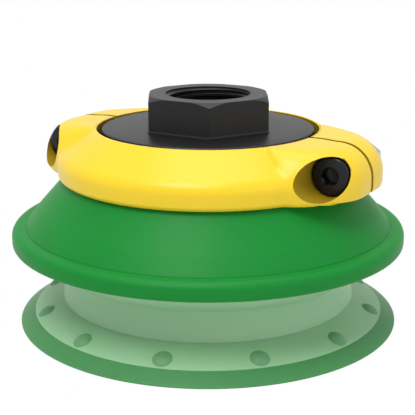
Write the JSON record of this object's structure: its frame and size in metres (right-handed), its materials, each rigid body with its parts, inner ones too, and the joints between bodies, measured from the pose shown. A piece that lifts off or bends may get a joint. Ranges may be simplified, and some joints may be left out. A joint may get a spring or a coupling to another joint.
{
  "type": "vacuum suction cup",
  "caption": "Round bellows vacuum cup of firm and soft rubber with a flat sealing lip, held by a two-piece screwed clamp on a hexagon fitting with a threaded vacuum port and filter.",
  "frame": {"origin": "centre of the circle on which the lip seals, at the bottom of the cup", "axes": "+Z along the cup's axis, out of the threaded vacuum port; -Y is the side of the clamp half that holds the screw heads"},
  "size_m": [0.077, 0.077, 0.0444],
  "materials": {
    "soft_green": "satin, slightly translucent soft polyurethane",
    "firm_green": "satin firm polyurethane",
    "black_fitting": "black anodised, satin",
    "filter_steel": "plain wire",
    "ring_steel": "turned",
    "yellow_plastic": "glossy moulded nylon",
    "black_screw": "black oxide",
    "nut_steel": "zinc plated"
  },
  "bodies": {
    "root": {"fitting_body": "black_fitting", "filter_mesh": "filter_steel", "filter_ring": "ring_steel", "clamp_front": "yellow_plastic", "clamp_rear": "yellow_plastic", "screw_right": "black_screw", "screw_left": "black_screw", "nut_right": "nut_steel", "nut_left": "nut_steel", "cup_neck": "firm_green", "cone_wall": "firm_green"},
    "rim": {"rim_bead": "firm_green", "lower_fold": "soft_green"},
    "lip": {"sealing_lip": "soft_green"}
  },
  "joints": [
    {"name": "upper_fold_slide", "type": "slide", "parent": "root", "child": "rim", "axis": [0, 0, 1], "range_m": [0, 0.007], "stiffness_N_per_m": 3000, "deforming": ["cone_wall"]},
    {"name": "lower_fold_slide", "type": "slide", "parent": "rim", "child": "lip", "axis": [0, 0, 1], "range_m": [0, 0.0084], "stiffness_N_per_m": 3000, "deforming": ["lower_fold"]}
  ],
  "couplings": [
    {"joint": "lower_fold_slide", "follows": "upper_fold_slide", "ratio": 1.2}
  ]
}
